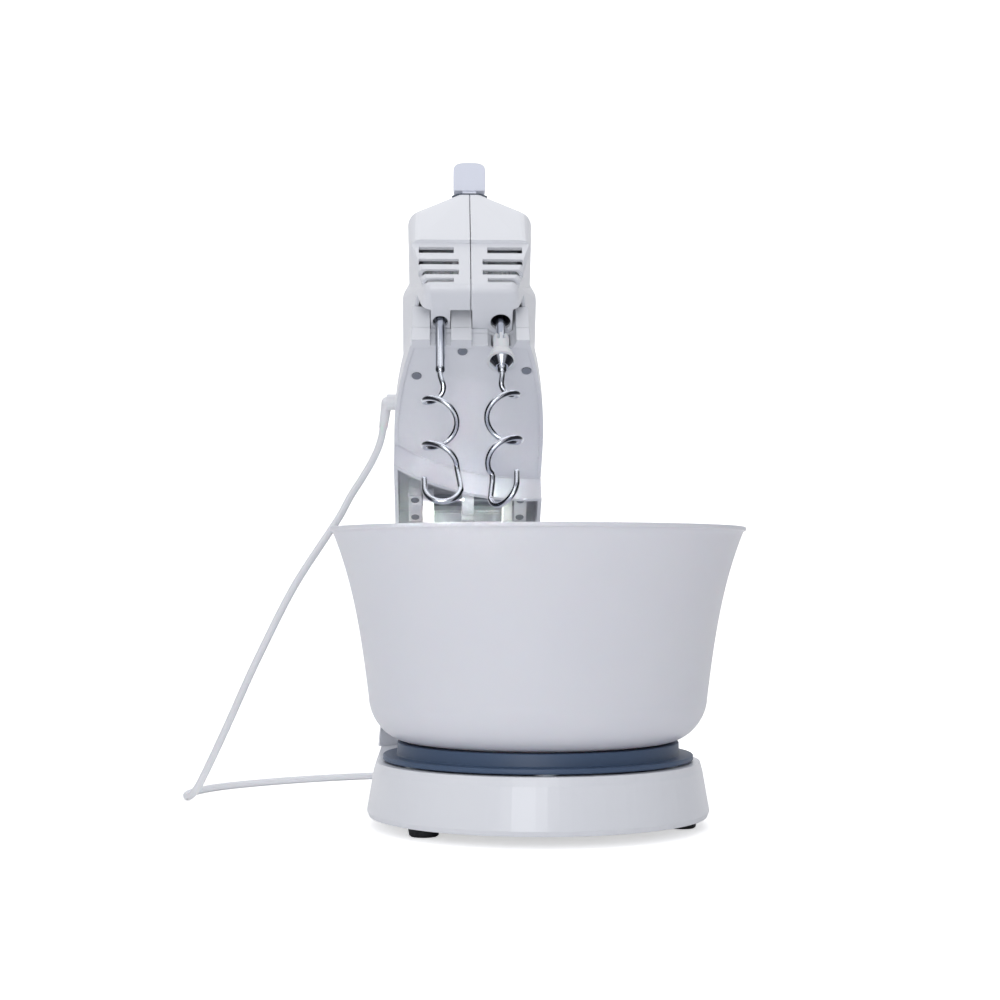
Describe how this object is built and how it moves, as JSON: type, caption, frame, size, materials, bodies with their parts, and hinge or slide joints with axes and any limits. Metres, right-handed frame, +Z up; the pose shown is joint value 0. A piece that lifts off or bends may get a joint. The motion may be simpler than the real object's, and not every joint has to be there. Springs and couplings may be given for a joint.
{
  "type": "stand mixer",
  "caption": "Hand mixer with dough hooks on a tilting arm, over a wide bowl on a free-turning disc, with a hollow-fronted column, a flat base and a mains lead.",
  "frame": {"origin": "on the table, at the centre of the outline measured without the mains lead", "axes": "+Z up; -Y is the front, where the bowl stands; +X is the viewer's right when looking at the front"},
  "size_m": [0.3554, 0.45, 0.4204],
  "materials": {
    "white_plastic": "smooth moulded, slightly glossy",
    "bowl_plastic": "smooth moulded, semi-gloss",
    "slate_blue_plastic": "satin moulded",
    "dark_slate_plastic": "satin moulded",
    "lavender_plastic": "satin moulded",
    "nylon": "smooth moulded",
    "bright_steel": "turned and zinc plated",
    "chromed_steel": "bright plated wire",
    "motor_steel": "laminated sheet",
    "brass": "turned",
    "copper": "enamelled wire and segments",
    "carbon": "pressed carbon",
    "board": "lacquered laminate",
    "black_rubber": "moulded",
    "lead_jacket": "soft white jacket"
  },
  "bodies": {
    "base": {"base_housing": "white_plastic", "base_plate": "white_plastic", "base_screws": "bright_steel", "rubber_feet": "black_rubber", "glide_pads": "nylon", "turntable_spindle": "bright_steel", "turntable_screw": "bright_steel", "column_front": "white_plastic", "column_rear_cover": "white_plastic", "column_screws": "bright_steel", "cover_screws": "bright_steel", "hinge_bushes": "nylon", "cord_run": "lead_jacket", "cord_coil": "lead_jacket", "cord_tail": "lead_jacket", "cord_tie": "white_plastic", "plug_body": "lead_jacket", "plug_pins": "bright_steel"},
    "turntable": {"turntable": "slate_blue_plastic", "turntable_bush": "brass"},
    "bowl": {"bowl": "bowl_plastic"},
    "arm": {"arm_lower": "white_plastic", "arm_upper": "white_plastic", "arm_screws": "bright_steel", "hinge_pin": "bright_steel", "hinge_caps": "white_plastic", "hinge_cap_screws": "bright_steel"},
    "lock": {"lock_slider": "nylon", "lock_knob": "lavender_plastic"},
    "mixer": {"mixer_shell_left": "white_plastic", "mixer_shell_right": "white_plastic", "handle_strip": "dark_slate_plastic", "shell_screws": "bright_steel", "gearbox_frame": "nylon", "stator": "motor_steel", "field_coils": "copper", "motor_brackets": "bright_steel", "motor_bearings": "brass", "brushes": "carbon", "circuit_board": "board", "strain_relief": "lead_jacket", "eject_spring": "bright_steel"},
    "rotor": {"rotor_shaft": "bright_steel", "rotor_core": "motor_steel", "commutator": "copper", "fan": "nylon", "worm": "bright_steel"},
    "left_spindle": {"left_spindle": "bright_steel", "left_gear": "nylon"},
    "right_spindle": {"right_spindle": "bright_steel", "right_gear": "nylon"},
    "left_hook": {"left_hook": "chromed_steel"},
    "right_hook": {"right_hook": "chromed_steel", "drive_collar": "nylon", "hook_washer": "chromed_steel"},
    "speed_carriage": {"speed_carriage": "nylon"},
    "eject_knob": {"eject_knob": "lavender_plastic"},
    "ejector": {"ejector": "nylon"}
  },
  "joints": [
    {"name": "turntable_spin", "type": "hinge", "parent": "base", "child": "turntable", "pos_m": [0, -0.0515, 0.045], "axis": [0, 0, 1], "continuous": true},
    {"name": "bowl_lift", "type": "slide", "parent": "turntable", "child": "bowl", "axis": [0, 0, 1], "range_m": [0, 0.006]},
    {"name": "arm_tilt", "type": "hinge", "parent": "base", "child": "arm", "pos_m": [-0.04, 0.1065, 0.2011], "axis": [1, 0, 0], "range_deg": [0, 38]},
    {"name": "lock_slide", "type": "slide", "parent": "base", "child": "lock", "axis": [0, 0, 1], "range_m": [0, 0.005]},
    {"name": "mixer_lift", "type": "slide", "parent": "arm", "child": "mixer", "axis": [0, 0.6157, 0.788], "range_m": [0, 0.012]},
    {"name": "motor_spin", "type": "hinge", "parent": "mixer", "child": "rotor", "pos_m": [-0.04, 0.0688, 0.28766], "axis": [0, -0.788, 0.6157], "continuous": true},
    {"name": "left_spindle_spin", "type": "hinge", "parent": "mixer", "child": "left_spindle", "pos_m": [-0.059, 0.0097, 0.33383], "axis": [0, 0.6157, 0.788], "continuous": true},
    {"name": "right_spindle_spin", "type": "hinge", "parent": "mixer", "child": "right_spindle", "pos_m": [-0.021, 0.0097, 0.33383], "axis": [0, 0.6157, 0.788], "continuous": true},
    {"name": "left_hook_push", "type": "slide", "parent": "left_spindle", "child": "left_hook", "axis": [0, 0.6157, 0.788], "range_m": [0, 0.026]},
    {"name": "right_hook_push", "type": "slide", "parent": "right_spindle", "child": "right_hook", "axis": [0, 0.6157, 0.788], "range_m": [0, 0.026]},
    {"name": "speed_slide", "type": "slide", "parent": "mixer", "child": "speed_carriage", "axis": [0, 0.8512, -0.5249], "range_m": [0, 0.012]},
    {"name": "eject_press", "type": "slide", "parent": "speed_carriage", "child": "eject_knob", "axis": [0, -0.6157, -0.788], "range_m": [0, 0.0024], "stiffness_N_per_m": 800, "deforming": ["eject_spring"]},
    {"name": "ejector_slide", "type": "slide", "parent": "mixer", "child": "ejector", "axis": [0, -0.6157, -0.788], "range_m": [0, 0.0024]}
  ],
  "couplings": [
    {"joint": "left_spindle_spin", "follows": "motor_spin", "ratio": 0.066667},
    {"joint": "right_spindle_spin", "follows": "motor_spin", "ratio": -0.066667},
    {"joint": "ejector_slide", "follows": "eject_press", "ratio": 1}
  ]
}
